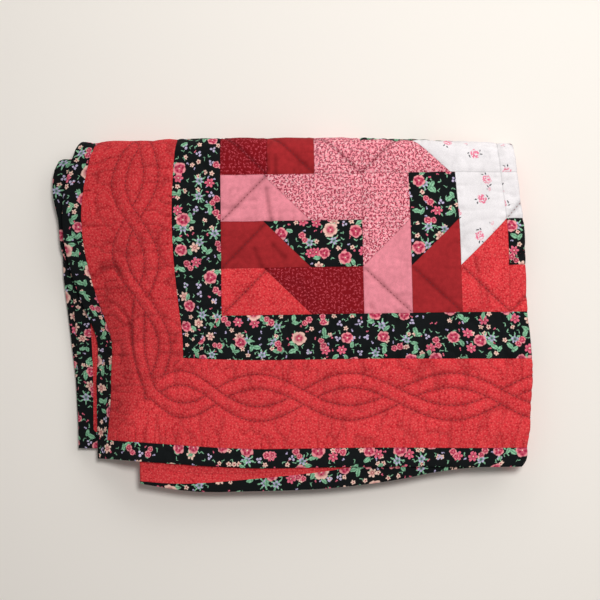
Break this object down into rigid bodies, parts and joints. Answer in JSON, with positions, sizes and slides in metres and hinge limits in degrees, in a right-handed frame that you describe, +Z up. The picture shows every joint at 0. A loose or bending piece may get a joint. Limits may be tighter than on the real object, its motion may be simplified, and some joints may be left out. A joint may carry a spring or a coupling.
{
  "type": "patchwork quilt",
  "caption": "Quilted patchwork bedspread folded into a flat oblong pack, its patchwork face up and its bound edges showing at one end and at the hem.",
  "frame": {"origin": "middle of the pack's bounding box, on the surface that it lies on", "axes": "+Z up through the layers, patchwork face up; +X along the pack's length, away from the bound edges; +Y from the hem towards the fold over the top"},
  "size_m": [0.5168, 0.3828, 0.0435],
  "materials": {
    "quilted_cotton": "matt printed quilting cotton, hand quilted over thin wadding",
    "binding_cotton": "matt black cotton with a small multicoloured flower print"
  },
  "bodies": {
    "root": {"quilted_sheet": "quilted_cotton", "binding": "binding_cotton"}
  },
  "joints": []
}
